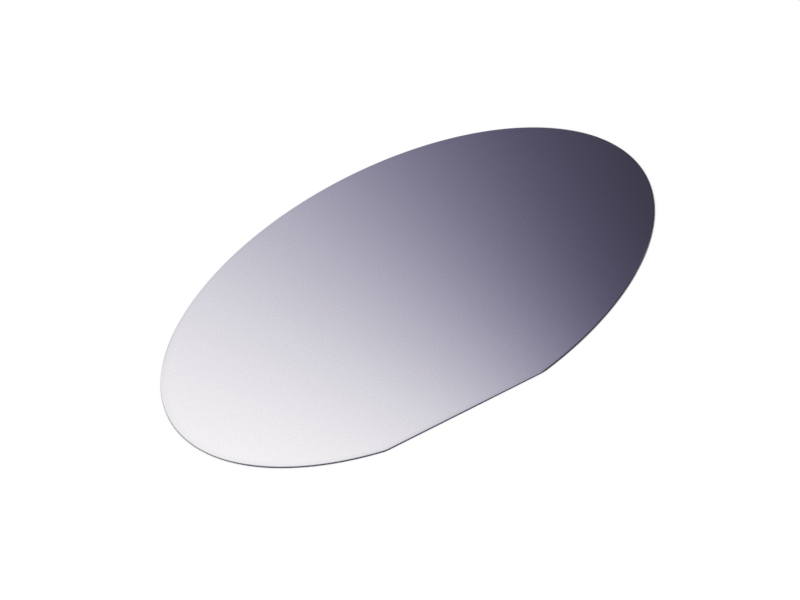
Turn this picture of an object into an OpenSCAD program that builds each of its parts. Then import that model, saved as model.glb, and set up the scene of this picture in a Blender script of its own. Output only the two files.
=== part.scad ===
// Single-crystal silicon carbide wafer: a thin disc with one orientation flat and a ground edge.
// It lies on its back face. The origin is the centre of the round outline, on the back face,
// and the flat is towards -Y. One edge section follows the whole outline, round and straight.

/* [Wafer] */
// Diameter of the round outline, measured over the tip of the edge
wafer_d = 150; // [100:0.5:200]
// Thickness of the substrate, up from the back face
substrate_t = 0.35; // [0.3:0.01:0.5]
// Thickness of the layer grown on top of the substrate, as the same crystal
layer_t = 0.01; // [0.005:0.001:0.03]

/* [Orientation flat] */
// Length of the flat, measured as if its corners were sharp
flat_l = 47.5; // [20:0.5:60]
// Radius that blends each end of the flat into the round outline
corner_r = 6; // [2:0.5:10]

/* [Edge grind] */
// Slope of both bevels, measured from the faces
bevel_angle = 22; // [15:1:35]
// Radius of the nose that joins the two bevels
nose_r = 0.1; // [0.05:0.01:0.14]

/* [Hidden] */

wafer_r = wafer_d / 2;
wafer_t = substrate_t + layer_t;

// The flat is a chord of the round outline, this far from the centre
flat_y = sqrt(wafer_r ^ 2 - (flat_l / 2) ^ 2);

// Turn of the outline in each corner, kept to a thousandth of a degree: the flat moves by less
// than a thousandth of a millimetre, and the corner ends exactly where the round stretch starts
finest_turn = 0.001;
exact_turn = acos((flat_y - corner_r) / (wafer_r - corner_r));
corner_turn = round(exact_turn / finest_turn) * finest_turn;

// The corner arc touches the round outline, so its centre lies on that radius
corner_x = (wafer_r - corner_r) * sin(corner_turn);
corner_y = (wafer_r - corner_r) * cos(corner_turn);

// Each bevel starts at a face and ends where it touches the nose
bevel_drop = wafer_t / 2 - nose_r * cos(bevel_angle);
bevel_run = bevel_drop / tan(bevel_angle);
touch_depth = nose_r * (1 - sin(bevel_angle));

// Direction of the flat from the centre, in degrees
flat_direction = -90;

// Neighbouring stretches overlap inside the wafer, so that no slit is left between them.
// The round stretch runs on by end_overlap, in degrees, into the corner arc at either end: the two
// outlines touch there, so it doesn't show. A half of the flat goes past the middle of the flat
// and past the wafer's centre by these shares of the way there.
end_overlap = finest_turn;
past_middle = 1.5;
past_centre = 1.2;

// Step that places are first rounded to, in millimetres
coarse_step = 0.001;

// Facets of a full turn of the outline and of the nose
outline_facets = 720;
nose_facets = 48;

// Section of the wafer with its back face down, from a line inside it out to the tip of its edge.
// The edge is drawn back from its tip, so that it is the same wherever the section is used.
module edge_section(reach, inner = 0) {
    translate([reach, 0]) {
        polygon([
            [inner - reach, 0],
            [-touch_depth - bevel_run, 0],
            [-touch_depth, bevel_drop],
            [-touch_depth, wafer_t - bevel_drop],
            [-touch_depth - bevel_run, wafer_t],
            [inner - reach, wafer_t]
        ]);
        translate([-nose_r, wafer_t / 2]) circle(nose_r, $fn = nose_facets);
    }
}

// The round stretch, from one corner of the flat the long way round to the other
module round_stretch() {
    end_turn = corner_turn - end_overlap;
    rotate_extrude(start = flat_direction + end_turn, angle = 360 - 2 * end_turn,
                   $fn = outline_facets)
        edge_section(wafer_r);
}

// Moves in a coarse and then a fine step, which keeps more digits than one step does
module place(at) {
    coarse = [for (v = at) round(v / coarse_step) * coarse_step];
    translate(coarse) translate(at - coarse) children();
}

// The arc at the +X end of the flat, about the centre that it is placed on
module corner_arc() {
    rotate_extrude(start = flat_direction, angle = corner_turn, $fn = outline_facets)
        edge_section(corner_r);
}

// The straight stretch from that arc back past the middle of the flat. Inwards it reaches past
// the wafer's centre, which fills the wedge that the round stretch leaves open.
module straight_half() {
    rotate([90, 0, flat_direction])
        linear_extrude(height = past_middle * corner_x)
            edge_section(corner_r, inner = -past_centre * corner_y);
}

module flat_half() {
    place([corner_x, -corner_y, 0]) {
        corner_arc();
        straight_half();
    }
}

module wafer() {
    color([0.56, 0.55, 0.62])
        union() {
            round_stretch();
            flat_half();
            mirror([1, 0, 0]) flat_half();
        }
}

wafer();
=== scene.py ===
"""A polished silicon carbide wafer, lying on its back face on a pale studio floor.

The wafer is one crystal: a thin round disc with one orientation flat, a ground edge with two
bevels and a round nose, a mirror-bright grown face, and a finely lapped back face. Lengths are
in metres, the origin is the centre of the round outline on the back face, +Z is up and the flat
is towards -Y.
"""

from __future__ import annotations

import logging
import math
from collections.abc import Mapping, Sequence
from dataclasses import dataclass, field
from enum import Enum
from functools import reduce
from typing import Any, Union

import bpy
from mathutils import Matrix, Vector


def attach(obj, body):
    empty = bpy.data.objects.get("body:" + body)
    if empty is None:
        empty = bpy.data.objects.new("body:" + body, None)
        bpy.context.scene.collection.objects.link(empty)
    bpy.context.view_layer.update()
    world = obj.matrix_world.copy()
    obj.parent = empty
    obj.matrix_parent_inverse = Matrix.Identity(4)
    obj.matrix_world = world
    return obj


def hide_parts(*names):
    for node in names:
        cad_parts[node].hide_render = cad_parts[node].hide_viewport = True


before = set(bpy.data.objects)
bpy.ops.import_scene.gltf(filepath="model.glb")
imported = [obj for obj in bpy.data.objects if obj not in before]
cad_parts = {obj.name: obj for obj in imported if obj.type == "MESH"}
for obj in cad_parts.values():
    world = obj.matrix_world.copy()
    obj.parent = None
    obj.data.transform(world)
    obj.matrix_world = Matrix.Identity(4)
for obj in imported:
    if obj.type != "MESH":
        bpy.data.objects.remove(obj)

log = logging.getLogger("wafer")

MM = 0.001
DEG = math.pi / 180.0
TURN = 2.0 * math.pi
WHITE = (1.0, 1.0, 1.0)

# What noise gives on average, and how many finer octaves it holds
NOISE_MEAN = 0.5
PLAIN_DETAIL = 2.0
FINE_DETAIL = 3.0

# Half of the distance between rows, which keeps comparisons of whole numbers safe
HALF_ROW = 0.5
# How far up or down the normal of a level face points, at least
LEVEL = 0.999

Colour = tuple[float, float, float]
Paint = Union[Colour, bpy.types.NodeSocket]
Operand = Union["Field", float]


# ---------------------------------------------------------------------------
# Node trees written as expressions
# ---------------------------------------------------------------------------


class Field:
    """A number that changes over a surface or along a mesh: one output socket of a node tree."""

    def __init__(self, tree: Tree, socket: bpy.types.NodeSocket) -> None:
        """Wraps a socket.

        Args:
            tree: the tree that the socket's node is in.
            socket: an output socket that gives a number.
        """
        self.tree = tree
        self.socket = socket

    def math(self, operation: str, *operands: Operand) -> Field:
        """Adds one Math node.

        Args:
            operation: the node's operation, such as "SINE".
            operands: its inputs, in order.

        Returns:
            The node's result.
        """
        inputs = dict(enumerate(operands))
        return self.tree.add("ShaderNodeMath", {"operation": operation}, inputs)

    def __add__(self, other: Operand) -> Field:
        """Sum."""
        return self.math("ADD", self, other)

    def __radd__(self, other: float) -> Field:
        """Sum, with the number first."""
        return self.math("ADD", other, self)

    def __sub__(self, other: Operand) -> Field:
        """Difference."""
        return self.math("SUBTRACT", self, other)

    def __rsub__(self, other: float) -> Field:
        """Difference, with the number first."""
        return self.math("SUBTRACT", other, self)

    def __mul__(self, other: Operand) -> Field:
        """Product."""
        return self.math("MULTIPLY", self, other)

    def __rmul__(self, other: float) -> Field:
        """Product, with the number first."""
        return self.math("MULTIPLY", other, self)

    def __truediv__(self, other: Operand) -> Field:
        """Quotient."""
        return self.math("DIVIDE", self, other)

    def __rtruediv__(self, other: float) -> Field:
        """Quotient, with the number first."""
        return self.math("DIVIDE", other, self)

    def __pow__(self, exponent: Operand) -> Field:
        """Power."""
        return self.math("POWER", self, exponent)

    def __mod__(self, period: Operand) -> Field:
        """Remainder, which takes the sign of the period."""
        return self.math("FLOORED_MODULO", self, period)

    def __neg__(self) -> Field:
        """Negative."""
        return self.math("MULTIPLY", self, -1.0)

    def __gt__(self, other: Operand) -> Field:
        """1 where this is greater, else 0."""
        return self.math("GREATER_THAN", self, other)

    def __lt__(self, other: Operand) -> Field:
        """1 where this is less, else 0."""
        return self.math("LESS_THAN", self, other)

    def at_least(self, low: Operand) -> Field:
        """This or low, whichever is greater."""
        return self.math("MAXIMUM", self, low)

    def at_most(self, high: Operand) -> Field:
        """This or high, whichever is less."""
        return self.math("MINIMUM", self, high)

    def sine(self) -> Field:
        """Sine of an angle in radians."""
        return self.math("SINE", self)

    def cosine(self) -> Field:
        """Cosine of an angle in radians."""
        return self.math("COSINE", self)

    def root(self) -> Field:
        """Square root."""
        return self.math("SQRT", self)

    def exponential(self) -> Field:
        """The number e to this power."""
        return self.math("EXPONENT", self)

    def floor(self) -> Field:
        """The whole number below."""
        return self.math("FLOOR", self)

    def rise(self, start: float, end: float) -> Field:
        """Rises smoothly from 0 to 1.

        Args:
            start: where the rise starts.
            end: where it is complete.

        Returns:
            0 before start, 1 after end and a smooth step between them.
        """
        return self.tree.add(
            "ShaderNodeMapRange",
            {"interpolation_type": "SMOOTHSTEP"},
            {"Value": self, "From Min": start, "From Max": end},
        )

    def soft_step(self) -> Field:
        """Goes softly from 0, far below 0, to 1, far above it."""
        return 1.0 / (1.0 + (-self).exponential())

    def blend(self, first: Operand, second: Operand) -> Field:
        """Goes from first to second as this goes from 0 to 1.

        Args:
            first: the value where this is 0.
            second: the value where this is 1.

        Returns:
            The value between them.
        """
        return first + self * (second - first)


class Tree:
    """A node tree that nodes are added to, of a material, of the world or of geometry."""

    def __init__(self, tree: bpy.types.NodeTree) -> None:
        """Starts with an empty tree.

        Args:
            tree: the tree, whose nodes are removed.
        """
        self.tree = tree
        tree.nodes.clear()

    def set(self, target: bpy.types.NodeSocket, value: Any) -> None:
        """Links or sets one input.

        Args:
            target: the input socket.
            value: a Field, an output socket, or a plain value. A colour may leave out its alpha.
        """
        if isinstance(value, Field):
            value = value.socket
        if isinstance(value, bpy.types.NodeSocket):
            self.tree.links.new(value, target)
        elif target.type == "RGBA" and len(value) == len(WHITE):
            target.default_value = (*value, 1.0)
        else:
            target.default_value = value

    def node(
        self, kind: str, settings: Mapping[str, Any] | None = None,
        inputs: Mapping[str | int, Any] | None = None,
    ) -> bpy.types.Node:
        """Adds a node.

        Args:
            kind: the node's type.
            settings: its properties, set before its inputs.
            inputs: values or links, by the sockets' names or numbers.

        Returns:
            The node.
        """
        node = self.tree.nodes.new(kind)
        for name, value in (settings or {}).items():
            setattr(node, name, value)
        for name, value in (inputs or {}).items():
            self.set(node.inputs[name], value)
        return node

    def add(
        self, kind: str, settings: Mapping[str, Any] | None = None,
        inputs: Mapping[str | int, Any] | None = None, output: str | int = 0,
    ) -> Field:
        """Adds a node and gives one of its outputs.

        Args:
            kind: the node's type.
            settings: its properties, as for node().
            inputs: its inputs, as for node().
            output: the name or number of the output that is wanted.

        Returns:
            That output.
        """
        return Field(self, self.node(kind, settings, inputs).outputs[output])

    def place(self) -> tuple[Field, Field, Field]:
        """The place on the piece, from Object coordinates.

        Returns:
            Its x, y and z in metres.
        """
        place = self.node("ShaderNodeTexCoord").outputs["Object"]
        split = self.node("ShaderNodeSeparateXYZ", inputs={0: place})
        x, y, z = (Field(self, socket) for socket in split.outputs)
        return x, y, z

    def noise(self, size: Sequence[float], detail: float = PLAIN_DETAIL) -> Field:
        """Cloudy noise over the piece.

        Args:
            size: how long a patch of it is along x, y and z, in metres.
            detail: how many finer octaves it holds.

        Returns:
            The noise, which is NOISE_MEAN on average.
        """
        place = self.node("ShaderNodeTexCoord").outputs["Object"]
        scaled = self.node(
            "ShaderNodeMapping",
            inputs={"Vector": place, "Scale": tuple(1.0 / length for length in size)},
        )
        return self.add(
            "ShaderNodeTexNoise", inputs={"Vector": scaled.outputs[0], "Scale": 1.0, "Detail": detail}
        )

    def colour_between(self, share: Field, first: Paint, second: Paint) -> bpy.types.NodeSocket:
        """Mixes two colours.

        Args:
            share: 0 for the first colour and 1 for the second.
            first: a colour, or the socket that gives it.
            second: a colour, or the socket that gives it.

        Returns:
            The socket that gives the mixed colour.
        """
        mix = self.node("ShaderNodeMix", {"data_type": "RGBA"})
        factor, colour_a, colour_b = (
            next(s for s in mix.inputs if s.identifier == name)
            for name in ("Factor_Float", "A_Color", "B_Color")
        )
        self.set(factor, share)
        self.set(colour_a, first)
        self.set(colour_b, second)
        return next(s for s in mix.outputs if s.identifier == "Result_Color")


def new_material(name: str) -> tuple[bpy.types.Material, Tree]:
    """Makes an empty material.

    Args:
        name: its name.

    Returns:
        The material and its tree.
    """
    material = bpy.data.materials.new(name)
    material.use_nodes = True
    return material, Tree(material.node_tree)


def show(obj: bpy.types.Object) -> bpy.types.Object:
    """Links an object into the scene.

    Args:
        obj: the object.

    Returns:
        The same object.
    """
    bpy.context.scene.collection.objects.link(obj)
    return obj


# ---------------------------------------------------------------------------
# The wafer
# ---------------------------------------------------------------------------


class Surface(Enum):
    """The three finishes of a wafer, each named for where it is."""

    GROWN_FACE = "grown face"
    GROUND_EDGE = "ground edge"
    BACK_FACE = "back face"


@dataclass(frozen=True)
class Outline:
    """The round outline with its flat, and the section of the edge that follows it."""

    diameter: float = 150.0 * MM
    thickness: float = 0.36 * MM
    flat_length: float = 47.5 * MM
    corner_radius: float = 6.0 * MM
    bevel_angle: float = 22.0 * DEG
    nose_radius: float = 0.1 * MM

    @property
    def radius(self) -> float:
        """Radius of the round stretch."""
        return self.diameter / 2

    @property
    def flat_distance(self) -> float:
        """How far the flat is from the centre."""
        return math.sqrt(self.radius**2 - (self.flat_length / 2) ** 2)

    @property
    def corner_turn(self) -> float:
        """Angle that the outline turns through in each corner of the flat."""
        reach = self.radius - self.corner_radius
        return math.acos((self.flat_distance - self.corner_radius) / reach)

    @property
    def nose_turn(self) -> float:
        """Angle from the middle of the nose to where a bevel touches it."""
        return math.pi / 2 - self.bevel_angle

    @property
    def nose_top(self) -> float:
        """Height at which the upper bevel touches the nose."""
        return self.thickness / 2 + self.nose_radius * math.cos(self.bevel_angle)

    @property
    def face_inset(self) -> float:
        """How far inside the tip of the edge the flat faces end."""
        drop = self.thickness / 2 - self.nose_radius * math.cos(self.bevel_angle)
        touch = self.nose_radius * (1 - math.sin(self.bevel_angle))
        return touch + drop / math.tan(self.bevel_angle)


@dataclass(frozen=True)
class GrownFace:
    """The mirror-bright face of the grown layer, with a fine grain and a duller outer ring.

    The grain is a haze in the colour, which fades out in the ring. The steps of the crystal's
    growth are low ripples, long from the flat to the far side.
    """

    outline: Outline
    clear_colour: Colour = (0.328, 0.320, 0.367)
    hazy_colour: Colour = (0.512, 0.500, 0.573)
    ring_colour: Colour = (0.40, 0.39, 0.45)
    gloss_roughness: float = 0.08
    ring_roughness: float = 0.04
    ring_width: float = 2.5 * MM
    cloud_size: float = 28.0 * MM
    cloud_share: float = 0.25
    haze_size: float = 0.4 * MM
    haze_roughness: float = 0.02
    step_length: float = 9.0 * MM
    step_width: float = 0.9 * MM
    step_height: float = 0.4e-6

    def make(self) -> bpy.types.Material:
        """Builds the material.

        Returns:
            The material.
        """
        material, tree = new_material(Surface.GROWN_FACE.value)
        x, y, _ = tree.place()
        from_round = self.outline.radius - (x * x + y * y).root()
        inset = from_round.at_most(y + self.outline.flat_distance)
        ring = 1.0 - inset.rise(self.outline.face_inset, self.ring_width)
        clouds = tree.noise((self.cloud_size,) * 3)
        haze = tree.noise((self.haze_size,) * 3)
        crystal = tree.colour_between(haze, self.clear_colour, self.hazy_colour)
        dullness = ring * (1.0 - self.cloud_share) + clouds * self.cloud_share
        steps = tree.noise((self.step_width, self.step_length, self.step_length))
        relief = tree.add(
            "ShaderNodeBump", inputs={"Height": steps, "Distance": self.step_height, "Strength": 1.0}
        )
        shader = tree.node(
            "ShaderNodeBsdfPrincipled",
            inputs={
                "Base Color": tree.colour_between(dullness, crystal, self.ring_colour),
                "Metallic": 1.0,
                "Roughness": self.gloss_roughness
                + ring * self.ring_roughness
                + (haze - NOISE_MEAN) * self.haze_roughness,
                "Normal": relief,
            },
        )
        tree.node("ShaderNodeOutputMaterial", inputs={"Surface": shader.outputs[0]})
        return material


@dataclass(frozen=True)
class GroundEdge:
    """The ground nose and lower bevel, with fine marks that run along the edge.

    The polish of the grown face runs on over the upper bevel, down to the nose.
    """

    outline: Outline
    colour: Colour = (0.035, 0.030, 0.056)
    worn_colour: Colour = (0.025, 0.021, 0.040)
    roughness: float = 0.5
    roughness_spread: float = 0.12
    groove_width: float = 0.025 * MM
    groove_length: float = 6.0 * MM
    groove_depth: float = 2.0e-6
    polished_colour: Colour = (0.40, 0.39, 0.45)
    polished_roughness: float = 0.12
    polish_fade: float = 0.02 * MM
    specular_level: float = 0.2

    def make(self) -> bpy.types.Material:
        """Builds the material.

        Returns:
            The material.
        """
        material, tree = new_material(Surface.GROUND_EDGE.value)
        _, _, height = tree.place()
        nose_top = self.outline.nose_top
        polish = height.rise(nose_top, nose_top + self.polish_fade)
        grooves = tree.noise(
            (self.groove_length, self.groove_length, self.groove_width), FINE_DETAIL
        )
        relief = tree.add(
            "ShaderNodeBump", inputs={"Height": grooves * (1.0 - polish), "Distance": self.groove_depth}
        )
        ground = tree.colour_between(grooves, self.colour, self.worn_colour)
        ground_roughness = self.roughness + (grooves - NOISE_MEAN) * self.roughness_spread
        shader = tree.node(
            "ShaderNodeBsdfPrincipled",
            inputs={
                "Base Color": tree.colour_between(polish, ground, self.polished_colour),
                "Metallic": polish,
                "Roughness": polish.blend(ground_roughness, self.polished_roughness),
                "Specular IOR Level": self.specular_level,
                "Normal": relief,
            },
        )
        tree.node("ShaderNodeOutputMaterial", inputs={"Surface": shader.outputs[0]})
        return material


@dataclass(frozen=True)
class BackFace:
    """The lapped back face: an even satin with fine marks in all directions."""

    colour: Colour = (0.32, 0.31, 0.35)
    pale_colour: Colour = (0.48, 0.47, 0.51)
    metallic: float = 0.9
    roughness: float = 0.32
    roughness_spread: float = 0.1
    cloud_size: float = 18.0 * MM
    mark_size: float = 0.12 * MM
    mark_share: float = 0.5
    mark_depth: float = 1.0e-6

    def make(self) -> bpy.types.Material:
        """Builds the material.

        Returns:
            The material.
        """
        material, tree = new_material(Surface.BACK_FACE.value)
        clouds = tree.noise((self.cloud_size,) * 3)
        marks = tree.noise((self.mark_size,) * 3, FINE_DETAIL)
        relief = tree.add("ShaderNodeBump", inputs={"Height": marks, "Distance": self.mark_depth})
        paleness = clouds * (1.0 - self.mark_share) + marks * self.mark_share
        shader = tree.node(
            "ShaderNodeBsdfPrincipled",
            inputs={
                "Base Color": tree.colour_between(paleness, self.colour, self.pale_colour),
                "Metallic": self.metallic,
                "Roughness": self.roughness + (marks - NOISE_MEAN) * self.roughness_spread,
                "Normal": relief,
            },
        )
        tree.node("ShaderNodeOutputMaterial", inputs={"Surface": shader.outputs[0]})
        return material


@dataclass
class Wafer:
    """The whole crystal, whose skin is one sheet of rows and stations wrapped round the outline.

    A station is a place along the outline. The rows run from the middle of the back face out to
    its rim, round the ground edge, and back to the middle of the grown face.
    """

    outline: Outline = field(default_factory=Outline)
    name: str = "polished_wafer"
    stands_for: str = "wafer"
    body: str = "root"
    slot: str = "crystal"
    turn_steps: int = 720
    flat_steps: int = 60
    nose_steps: int = 16
    face_rings: int = 12
    crease_angle: float = 15.0 * DEG
    weld: float = 1.0e-7

    def sizes(self) -> dict[str, float | int]:
        """The tree's inputs.

        Returns:
            The name and the value of each.
        """
        outline = self.outline
        return {
            "Round Radius": outline.radius,
            "Thickness": outline.thickness,
            "Corner Radius": outline.corner_radius,
            "Corner Turn": outline.corner_turn,
            "Nose Radius": outline.nose_radius,
            "Nose Turn": outline.nose_turn,
            "Face Inset": outline.face_inset,
            "Turn Steps": self.turn_steps,
            "Flat Steps": self.flat_steps,
            "Nose Steps": self.nose_steps,
            "Face Rings": self.face_rings,
            "Crease Angle": self.crease_angle,
            "Weld": self.weld,
        }

    def materials(self) -> dict[Surface, bpy.types.Material]:
        """The material of each surface.

        Returns:
            The materials.
        """
        return {
            Surface.GROWN_FACE: GrownFace(self.outline).make(),
            Surface.GROUND_EDGE: GroundEdge(self.outline).make(),
            Surface.BACK_FACE: BackFace().make(),
        }

    def skin_tree(self) -> tuple[bpy.types.NodeTree, dict[str, str]]:
        """Builds the tree that makes the wafer's skin from its sizes.

        Returns:
            The tree, and the identifier of each input by its name.
        """
        group = bpy.data.node_groups.new("ground outline", "GeometryNodeTree")
        group.interface.new_socket("Geometry", in_out="OUTPUT", socket_type="NodeSocketGeometry")
        identifiers = {}
        for name, value in self.sizes().items():
            kind = "NodeSocketInt" if isinstance(value, int) else "NodeSocketFloat"
            identifiers[name] = group.interface.new_socket(name, socket_type=kind).identifier
        for surface in Surface:
            socket = group.interface.new_socket(surface.value, socket_type="NodeSocketMaterial")
            identifiers[surface.value] = socket.identifier
        tree = Tree(group)
        given = tree.node("NodeGroupInput").outputs
        size = {name: Field(tree, given[name]) for name in self.sizes()}

        stations = size["Turn Steps"] + size["Flat Steps"] + 1.0
        rows = self._last_row(size) + 1.0
        sheet = tree.node(
            "GeometryNodeMeshGrid", inputs={"Vertices X": stations, "Vertices Y": rows}
        )
        index = tree.add("GeometryNodeInputIndex")
        row = index % rows
        station = ((index + HALF_ROW) / rows).floor()
        x, y = self._outline_place(size, station, row)
        z = self._height(size, row)
        place = tree.node("ShaderNodeCombineXYZ", inputs={"X": x, "Y": y, "Z": z})
        shaped = tree.node(
            "GeometryNodeSetPosition",
            inputs={"Geometry": sheet.outputs["Mesh"], "Position": place.outputs[0]},
        )
        closed = tree.node(
            "GeometryNodeMergeByDistance",
            inputs={"Geometry": shaped.outputs[0], "Distance": size["Weld"]},
        )
        skin = self._dress(tree, closed.outputs[0], given)
        tree.node("NodeGroupOutput", inputs={0: skin})
        return group, identifiers

    @staticmethod
    def _last_row(size: Mapping[str, Field]) -> Field:
        """The row in the middle of the grown face, counted from 0 in the middle of the back."""
        return 2.0 * size["Face Rings"] + size["Nose Steps"] + 2.0

    @staticmethod
    def _edge_turn(size: Mapping[str, Field], row: Field) -> Field:
        """How far round the nose a row is.

        Args:
            size: the tree's inputs.
            row: the row's number.

        Returns:
            The angle up from the middle of the nose, held at the last row of the nose beyond it.
        """
        step = (row - size["Face Rings"] - 1.0).at_least(0.0).at_most(size["Nose Steps"])
        return size["Nose Turn"] * (2.0 * step / size["Nose Steps"] - 1.0)

    @staticmethod
    def _on_back(size: Mapping[str, Field], row: Field) -> Field:
        """1 on the rows of the back face, else 0."""
        return row < size["Face Rings"] + HALF_ROW

    @staticmethod
    def _on_front(size: Mapping[str, Field], row: Field) -> Field:
        """1 on the rows of the grown face, else 0."""
        return row > size["Face Rings"] + size["Nose Steps"] + 1.0 + HALF_ROW

    def _height(self, size: Mapping[str, Field], row: Field) -> Field:
        """How high a row lies.

        Args:
            size: the tree's inputs.
            row: the row's number.

        Returns:
            The height over the back face.
        """
        nose = size["Thickness"] / 2.0 + size["Nose Radius"] * self._edge_turn(size, row).sine()
        edge = nose * (1.0 - self._on_back(size, row))
        return self._on_front(size, row).blend(edge, size["Thickness"])

    def _outline_place(
        self, size: Mapping[str, Field], station: Field, row: Field
    ) -> tuple[Field, Field]:
        """Where a station and row lie, seen from above.

        The outline's own direction turns once round. The round stretch turns about the centre of
        the wafer and each corner about its own centre, and the flat joins the two corners.

        Args:
            size: the tree's inputs.
            station: the station's number, counted from the +X end of the flat.
            row: the row's number.

        Returns:
            Its x and its y.
        """
        turn = station.at_most(size["Turn Steps"]) * TURN / size["Turn Steps"]
        along = (station - size["Turn Steps"]).at_least(0.0) / size["Flat Steps"]
        in_corner = (turn < size["Corner Turn"]).at_least(
            turn > TURN - size["Corner Turn"]
        )
        reach = size["Round Radius"] - size["Corner Radius"]
        side = (turn < math.pi).blend(2.0 * along - 1.0, 1.0)
        centre_x = in_corner * side * reach * size["Corner Turn"].sine()
        centre_y = in_corner * reach * size["Corner Turn"].cosine()
        radius = in_corner.blend(size["Round Radius"], size["Corner Radius"])

        on_face = self._on_back(size, row) + self._on_front(size, row)
        nose_inset = size["Nose Radius"] * (1.0 - self._edge_turn(size, row).cosine())
        out = radius - on_face.blend(nose_inset, size["Face Inset"])
        from_end = self._last_row(size) - row
        ring = (row.at_most(from_end) / size["Face Rings"]).at_most(1.0)
        return (
            ring * (centre_x + out * turn.sine()),
            -ring * (centre_y + out * turn.cosine()),
        )

    @staticmethod
    def _dress(
        tree: Tree, skin: bpy.types.NodeSocket, given: bpy.types.bpy_prop_collection
    ) -> bpy.types.NodeSocket:
        """Gives each surface its material, and shades the edge smooth up to a crease at each face.

        Args:
            tree: the tree.
            skin: the closed skin.
            given: the group's inputs.

        Returns:
            The dressed skin.
        """
        normal = tree.node("GeometryNodeInputNormal").outputs[0]
        upward = Field(tree, tree.node("ShaderNodeSeparateXYZ", inputs={0: normal}).outputs["Z"])
        front = upward > LEVEL
        back = upward < -LEVEL
        edge = 1.0 - front.at_least(back)
        smooth = tree.node(
            "GeometryNodeSetShadeSmooth", inputs={"Geometry": skin, "Shade Smooth": edge}
        )
        fold = tree.add("GeometryNodeInputMeshEdgeAngle", output="Unsigned Angle")
        creased = tree.node(
            "GeometryNodeSetShadeSmooth", {"domain": "EDGE"},
            {
                "Geometry": smooth.outputs[0], "Selection": fold > given["Crease Angle"],
                "Shade Smooth": False,
            },
        )
        real = tree.node("GeometryNodeRealizeInstances", inputs={0: creased.outputs[0]})
        dressed = real.outputs[0]
        chosen = {
            Surface.GROWN_FACE: front, Surface.GROUND_EDGE: edge, Surface.BACK_FACE: back,
        }
        for surface, where in chosen.items():
            dressed = tree.node(
                "GeometryNodeSetMaterial",
                inputs={
                    "Geometry": dressed, "Selection": where, "Material": given[surface.value],
                },
            ).outputs[0]
        return dressed

    def build(self) -> bpy.types.Object:
        """Makes the finished wafer, hangs it from its body and hides the part that it stands for.

        Returns:
            The wafer.
        """
        group, identifiers = self.skin_tree()
        wafer = show(bpy.data.objects.new(self.name, bpy.data.meshes.new(self.name)))
        modifier = wafer.modifiers.new("skin", "NODES")
        modifier.node_group = group
        for name, value in self.sizes().items():
            modifier[identifiers[name]] = value
        for surface, material in self.materials().items():
            modifier[identifiers[surface.value]] = material
        evaluated = wafer.evaluated_get(bpy.context.evaluated_depsgraph_get())
        mesh = bpy.data.meshes.new_from_object(evaluated)
        wafer.modifiers.remove(modifier)
        wafer.data = mesh
        mesh.name = self.name
        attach(wafer, self.body)
        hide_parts(self.stands_for)
        return wafer


# ---------------------------------------------------------------------------
# The studio
# ---------------------------------------------------------------------------


@dataclass(frozen=True)
class Floor:
    """A plain white floor, which keeps the wafer's shadow."""

    half_side: float = 60.0
    colour: Colour = (0.985, 0.985, 0.985)

    def make(self) -> bpy.types.Object:
        """Builds the floor.

        Returns:
            The floor.
        """
        corners = [(-1, -1), (1, -1), (1, 1), (-1, 1)]
        mesh = bpy.data.meshes.new("floor")
        places = [(x * self.half_side, y * self.half_side, 0.0) for x, y in corners]
        mesh.from_pydata(places, [], [(0, 1, 2, 3)])
        floor = show(bpy.data.objects.new("floor", mesh))
        material, tree = new_material("white floor")
        plain = tree.node("ShaderNodeBsdfDiffuse", inputs={"Color": self.colour})
        tree.node("ShaderNodeOutputMaterial", inputs={"Surface": plain.outputs[0]})
        mesh.materials.append(material)
        return floor


def seen_directly(tree: Tree) -> Field:
    """1 for what the camera sees, straight or in a mirror or through glass, else 0.

    Args:
        tree: a material's tree or the world's.

    Returns:
        The mask.
    """
    path = tree.node("ShaderNodeLightPath").outputs
    camera, glossy, through = (
        Field(tree, path[name])
        for name in ("Is Camera Ray", "Is Glossy Ray", "Is Transmission Ray")
    )
    return camera.at_least(glossy).at_least(through)


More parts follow.
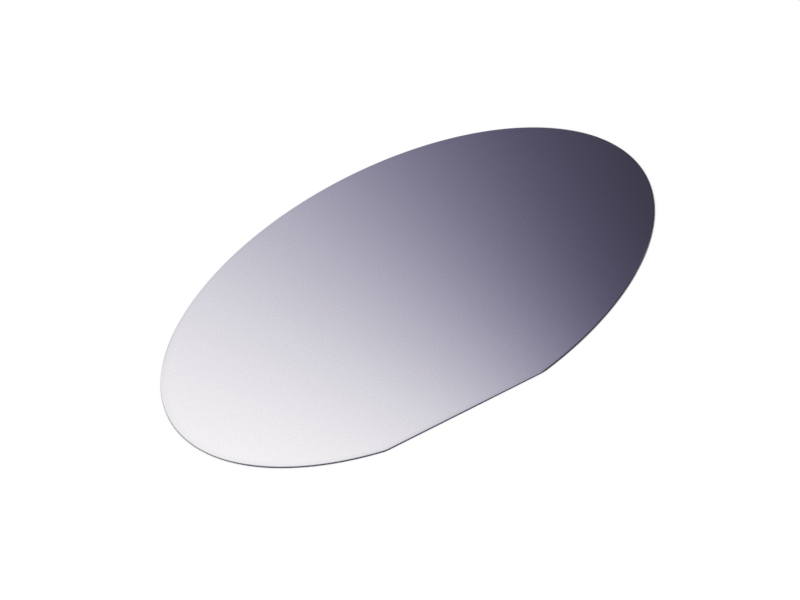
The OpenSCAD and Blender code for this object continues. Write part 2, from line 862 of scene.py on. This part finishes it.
@dataclass(frozen=True)
class LightTent:
    """A dome round the wafer that only shows in its polish, with soft lamps round its wall.

    The wall lamps are equal, and each is wider and sharper higher up and fainter near the floor.
    The ceiling above them is dark on the +X side and paler on the -X side, with one round soft
    lamp a little behind its middle. Azimuth is measured from +Y towards -X. A wall lamp's light
    rises from dark to lit by a power of its glow, one power for each channel.
    """

    radius: float = 0.6
    lamp_azimuths: tuple[float, ...] = (22.5 * DEG, 112.5 * DEG, 202.5 * DEG, 281.0 * DEG)
    half_width: float = 28.6 * DEG
    softness: float = 5.76 * DEG
    middle_elevation: float = 30.0 * DEG
    lift_span: float = 10.0 * DEG
    widening: float = 2.20 * DEG
    sharpening: float = 0.491
    foot_share: float = 0.2
    foot_height: float = 10.0 * DEG
    ceiling_from: float = 36.0 * DEG
    ceiling_to: float = 46.0 * DEG
    dark: Colour = (0.077, 0.074, 0.070)
    lit: Colour = (2.34, 2.35, 2.04)
    bend: Colour = (3.37, 3.44, 2.63)
    dark_ceiling: Colour = (0.15, 0.14, 0.19)
    pale_ceiling: Colour = (0.60, 0.59, 0.67)
    dark_side: float = 0.12
    pale_side: float = -0.25
    top_lamp_place: tuple[float, float] = (-0.03, 0.11)
    top_lamp_radius: float = 0.10
    top_lamp_softness: float = 0.03
    top_lamp: Colour = (1.25, 1.22, 1.36)
    rings: int = 48
    segments: int = 96

    def make(self) -> bpy.types.Object:
        """Builds the dome.

        Returns:
            The dome.
        """
        points = [(0.0, 0.0, self.radius)]
        faces = []
        for ring in range(1, self.rings + 1):
            tilt = ring / self.rings * math.pi / 2
            for segment in range(self.segments):
                turn = segment / self.segments * TURN
                points.append((
                    self.radius * math.sin(tilt) * math.cos(turn),
                    self.radius * math.sin(tilt) * math.sin(turn),
                    self.radius * math.cos(tilt),
                ))
        for segment in range(self.segments):
            beside = (segment + 1) % self.segments
            faces.append((0, 1 + beside, 1 + segment))
            for ring in range(self.rings - 1):
                first = 1 + ring * self.segments
                faces.append((
                    first + segment, first + beside,
                    first + self.segments + beside, first + self.segments + segment,
                ))
        mesh = bpy.data.meshes.new("light_tent")
        mesh.from_pydata(points, [], faces)
        mesh.materials.append(self._cloth())
        tent = show(bpy.data.objects.new("light_tent", mesh))
        tent.visible_camera = False
        tent.visible_diffuse = False
        tent.visible_shadow = False
        return tent

    def _cloth(self) -> bpy.types.Material:
        """The tent's glowing cloth.

        Returns:
            The material.
        """
        material, tree = new_material("tent cloth")
        material.cycles.emission_sampling = "NONE"
        x, y, z = tree.place()
        azimuth = tree.add("ShaderNodeMath", {"operation": "ARCTAN2"}, {0: -x, 1: y})
        elevation = tree.add(
            "ShaderNodeMath", {"operation": "ARCTAN2"}, {0: z, 1: (x * x + y * y).root()}
        )
        aside = [
            (azimuth - (centre - math.pi)) % TURN - math.pi
            for centre in self.lamp_azimuths
        ]
        nearest = reduce(Field.at_most, (angle.at_least(-angle) for angle in aside))
        lift = (elevation - self.middle_elevation) / self.lift_span
        lift = lift.at_least(-1.0).at_most(1.0)
        inside = self.half_width + lift * self.widening - nearest
        softness = self.softness * (1.0 - lift * self.sharpening)
        glow = (inside / softness).soft_step()
        strength = elevation.rise(0.0, self.foot_height).blend(self.foot_share, 1.0)
        top_x, top_y = (at - centre for at, centre in zip((x, y), self.top_lamp_place))
        within = self.top_lamp_radius - (top_x * top_x + top_y * top_y).root()
        top_glow = (within / self.top_lamp_softness).soft_step()
        above = elevation.rise(self.ceiling_from, self.ceiling_to)
        paleness = 1.0 - x.rise(self.pale_side, self.dark_side)
        wall = [
            (glow**bend * strength).blend(dark, lit)
            for dark, lit, bend in zip(self.dark, self.lit, self.bend)
        ]
        ceiling = [
            top_glow.blend(paleness.blend(dark, pale), lamp)
            for dark, pale, lamp in zip(self.dark_ceiling, self.pale_ceiling, self.top_lamp)
        ]
        channels = [above.blend(low, high) for low, high in zip(wall, ceiling)]
        colour = tree.node("ShaderNodeCombineColor", inputs=dict(enumerate(channels)))
        light = tree.node(
            "ShaderNodeEmission", inputs={"Color": colour.outputs[0], "Strength": 1.0}
        )
        tree.node("ShaderNodeOutputMaterial", inputs={"Surface": light.outputs[0]})
        return material


@dataclass(frozen=True)
class PlainLight:
    """Even light from all round, and one broad soft lamp far off, behind and to the left."""

    level: float = 0.60
    lamp_strength: float = 1.8
    lamp_spread: float = 20.0 * DEG
    lamp_place: tuple[float, float, float] = (-0.5, 0.6, 0.85)

    def make(self) -> bpy.types.Object:
        """Builds the world and the lamp.

        Returns:
            The lamp.
        """
        world = bpy.data.worlds.new("studio")
        world.use_nodes = True
        bpy.context.scene.world = world
        tree = Tree(world.node_tree)
        plain, white = (
            tree.node("ShaderNodeBackground", inputs={"Color": WHITE, "Strength": strength})
            for strength in (self.level, 1.0)
        )
        mix = tree.node(
            "ShaderNodeMixShader",
            inputs={"Fac": seen_directly(tree), 1: plain.outputs[0], 2: white.outputs[0]},
        )
        tree.node("ShaderNodeOutputWorld", inputs={"Surface": mix.outputs[0]})

        data = bpy.data.lights.new("soft_lamp", "SUN")
        data.energy = self.lamp_strength
        data.angle = self.lamp_spread
        lamp = show(bpy.data.objects.new("soft_lamp", data))
        lamp.location = self.lamp_place
        aim = -Vector(self.lamp_place)
        lamp.rotation_euler = aim.to_track_quat("-Z", "Y").to_euler()
        lamp.visible_glossy = False
        return lamp


@dataclass(frozen=True)
class ProductCamera:
    """A long lens that looks down on the wafer from the side of its flat, rolled to the left."""

    distance: float = 1.504
    elevation: float = 30.18 * DEG
    roll: float = 26.656 * DEG
    focal_px: float = 5368.0
    frame_px: tuple[float, float] = (800.0, 600.0)
    centre_px: tuple[float, float] = (405.25, 292.84)
    sensor_width: float = 36.0
    clip_range: tuple[float, float] = (0.05, 200.0)

    def make(self) -> bpy.types.Object:
        """Builds the camera, and makes it the scene's.

        Returns:
            The camera.
        """
        data = bpy.data.cameras.new("product_camera")
        data.sensor_width = self.sensor_width
        data.lens = self.focal_px / self.frame_px[0] * self.sensor_width
        data.clip_start, data.clip_end = self.clip_range
        camera = show(bpy.data.objects.new("product_camera", data))
        back = Vector((0.0, -math.cos(self.elevation), math.sin(self.elevation)))
        look = (-back).to_track_quat("-Z", "Y").to_matrix()
        roll = Matrix.Rotation(-self.roll, 3, "Z")
        right_px = self.centre_px[0] - self.frame_px[0] / 2
        up_px = self.frame_px[1] / 2 - self.centre_px[1]
        seen = Vector((right_px, up_px, -self.focal_px))
        pan = Vector((0.0, 0.0, -1.0)).rotation_difference(seen).to_matrix()
        turn = look @ roll @ pan.transposed()
        camera.matrix_world = Matrix.Translation(back * self.distance) @ turn.to_4x4()
        bpy.context.scene.camera = camera
        return camera


@dataclass
class Studio:
    """The camera, the floor, the light and the tent."""

    camera: ProductCamera = field(default_factory=ProductCamera)
    floor: Floor = field(default_factory=Floor)
    light: PlainLight = field(default_factory=PlainLight)
    tent: LightTent = field(default_factory=LightTent)

    def build(self) -> list[bpy.types.Object]:
        """Makes the whole studio.

        Returns:
            Its objects.
        """
        bpy.context.scene.view_settings.view_transform = "Standard"
        makers = (self.camera, self.floor, self.light, self.tent)
        return [maker.make() for maker in makers]


def main() -> None:
    """Builds the studio and the wafer."""
    logging.basicConfig(level=logging.INFO, format="%(name)s: %(message)s")
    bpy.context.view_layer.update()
    for obj in Studio().build():
        log.info("stage %s", obj.name)
    wafer = Wafer().build()
    log.info("piece %s: %d faces", wafer.name, len(wafer.data.polygons))


if __name__ == "__main__":
    main()
